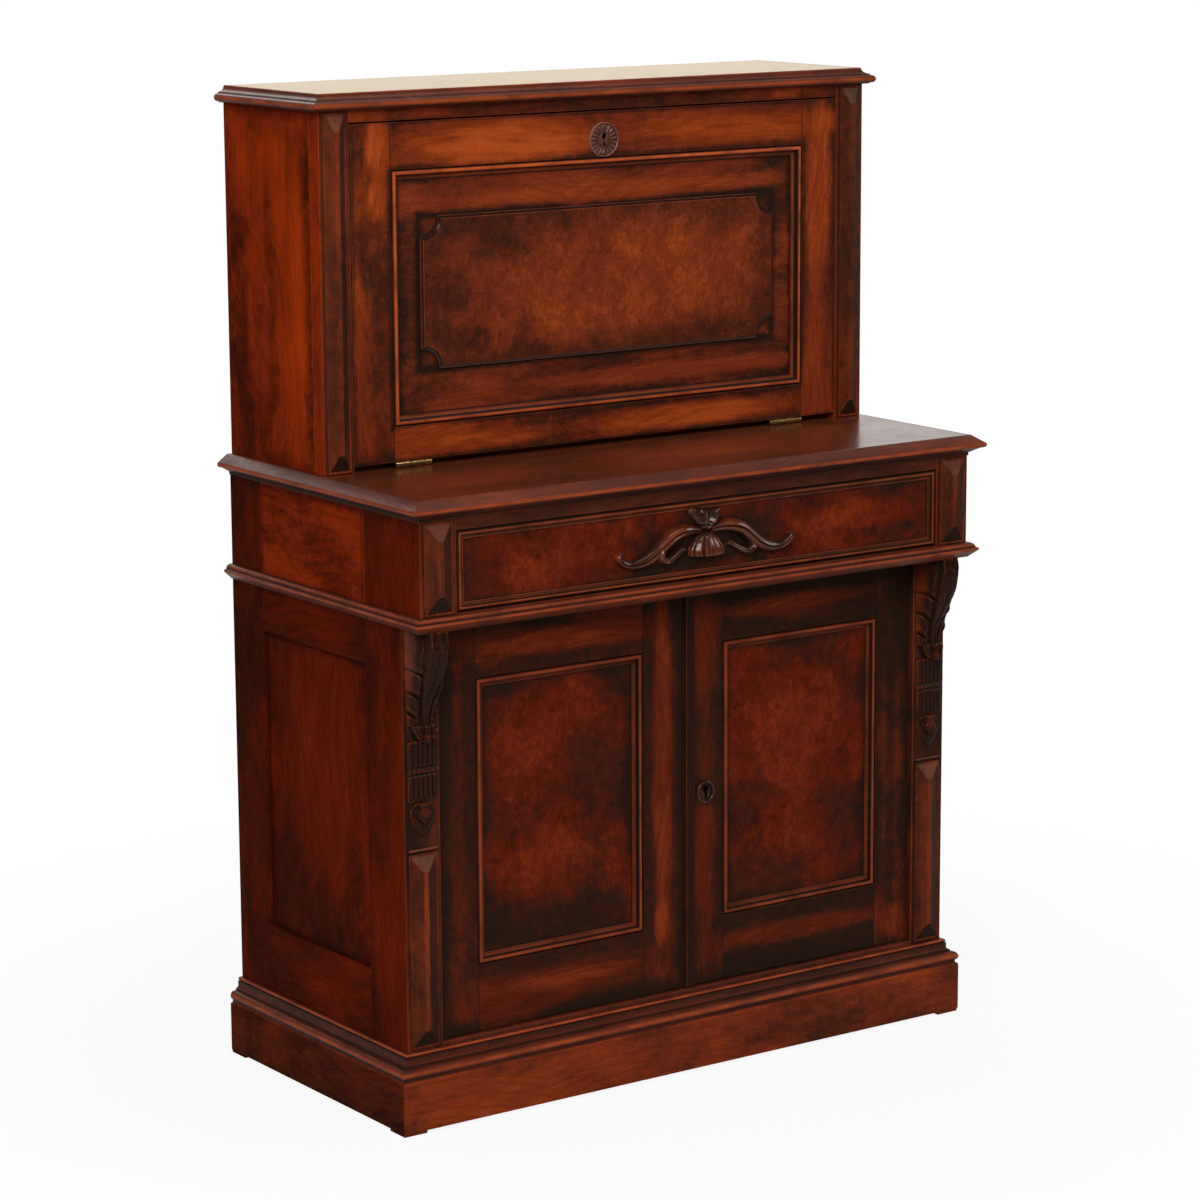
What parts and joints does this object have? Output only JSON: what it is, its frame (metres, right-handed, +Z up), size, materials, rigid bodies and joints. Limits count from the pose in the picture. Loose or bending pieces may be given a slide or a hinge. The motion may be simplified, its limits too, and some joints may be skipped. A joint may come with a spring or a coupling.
{
  "type": "drop-front writing desk",
  "caption": "Polished wooden writing desk: a panelled cupboard with a long drawer carries a shallow case closed by a drop front that folds down as the writing surface.",
  "frame": {"origin": "middle of the footprint, on the floor", "axes": "+Z up, +X to the viewer's right, +Y towards the back; the front faces -Y"},
  "size_m": [0.855, 0.4505, 1.216],
  "materials": {
    "polished_walnut": "french polished",
    "burl_veneer": "french polished burl veneer",
    "dark_wood": "darkened carved wood",
    "pine": "bare",
    "brass": "aged",
    "leather": "satin"
  },
  "bodies": {
    "case": {"foot_blocks": "dark_wood", "plinth": "polished_walnut", "base_moulding": "polished_walnut", "bottom_board": "pine", "front_posts": "polished_walnut", "rear_posts": "polished_walnut", "side_rails": "polished_walnut", "side_panels": "burl_veneer", "hipped_strips": "polished_walnut", "left_corbel": "dark_wood", "right_corbel": "dark_wood", "divider_board": "pine", "mid_moulding": "polished_walnut", "drawer_blocks": "polished_walnut", "drawer_section_sides": "polished_walnut", "drawer_rail": "polished_walnut", "inner_battens": "pine", "lower_back": "pine", "cupboard_shelf": "pine", "desk_ledge": "polished_walnut", "ledge_moulding": "polished_walnut", "upper_sides": "polished_walnut", "pilasters": "polished_walnut", "top_rail": "polished_walnut", "cap_board": "polished_walnut", "cap_moulding": "polished_walnut", "upper_back": "pine", "writing_bed": "polished_walnut", "gallery": "polished_walnut", "fall_hinge_plates": "brass", "pivot_plates": "brass"},
    "fall": {"fall_frame": "polished_walnut", "fall_panel": "dark_wood", "fall_moulding": "polished_walnut", "fall_burl_panel": "burl_veneer", "fall_lining": "leather", "fall_lock": "brass", "fall_rosette": "dark_wood", "fall_hinge_leaves": "brass"},
    "fall_bolt": {"fall_lock_bolt": "brass"},
    "drawer": {"drawer_front": "burl_veneer", "drawer_box": "pine", "drawer_bottom": "pine", "drawer_moulding": "polished_walnut", "drawer_pull": "dark_wood"},
    "left_door": {"left_door_frame": "polished_walnut", "left_door_panel": "burl_veneer", "left_door_moulding": "polished_walnut", "left_door_pivots": "brass", "flush_bolt_plate": "brass"},
    "left_bolt": {"flush_bolt": "brass"},
    "right_door": {"right_door_frame": "polished_walnut", "right_door_panel": "burl_veneer", "right_door_moulding": "polished_walnut", "right_door_fittings": "dark_wood", "door_lock": "brass"},
    "right_bolt": {"door_lock_bolt": "brass"},
    "left_drawer": {"left_small_drawer": "polished_walnut"},
    "right_drawer": {"right_small_drawer": "polished_walnut"}
  },
  "joints": [
    {"name": "fall_hinge", "type": "hinge", "parent": "case", "child": "fall", "pos_m": [0, 0.00425, 0.7697], "axis": [1, 0, 0], "range_deg": [0, 90]},
    {"name": "fall_bolt_slide", "type": "slide", "parent": "fall", "child": "fall_bolt", "axis": [0, 0, 1], "range_m": [0, 0.007]},
    {"name": "drawer_slide", "type": "slide", "parent": "case", "child": "drawer", "axis": [0, -1, 0], "range_m": [0, 0.3]},
    {"name": "left_door_hinge", "type": "hinge", "parent": "case", "child": "left_door", "pos_m": [-0.3525, -0.15468, 0.1], "axis": [0, 0, -1], "range_deg": [0, 90]},
    {"name": "left_bolt_slide", "type": "slide", "parent": "left_door", "child": "left_bolt", "axis": [0, 0, 1], "range_m": [0, 0.009]},
    {"name": "right_door_hinge", "type": "hinge", "parent": "case", "child": "right_door", "pos_m": [0.3525, -0.15468, 0.1], "axis": [0, 0, 1], "range_deg": [0, 90]},
    {"name": "right_bolt_slide", "type": "slide", "parent": "right_door", "child": "right_bolt", "axis": [-1, 0, 0], "range_m": [0, 0.006]},
    {"name": "left_drawer_slide", "type": "slide", "parent": "case", "child": "left_drawer", "axis": [0, -1, 0], "range_m": [0, 0.055]},
    {"name": "right_drawer_slide", "type": "slide", "parent": "case", "child": "right_drawer", "axis": [0, -1, 0], "range_m": [0, 0.055]}
  ]
}
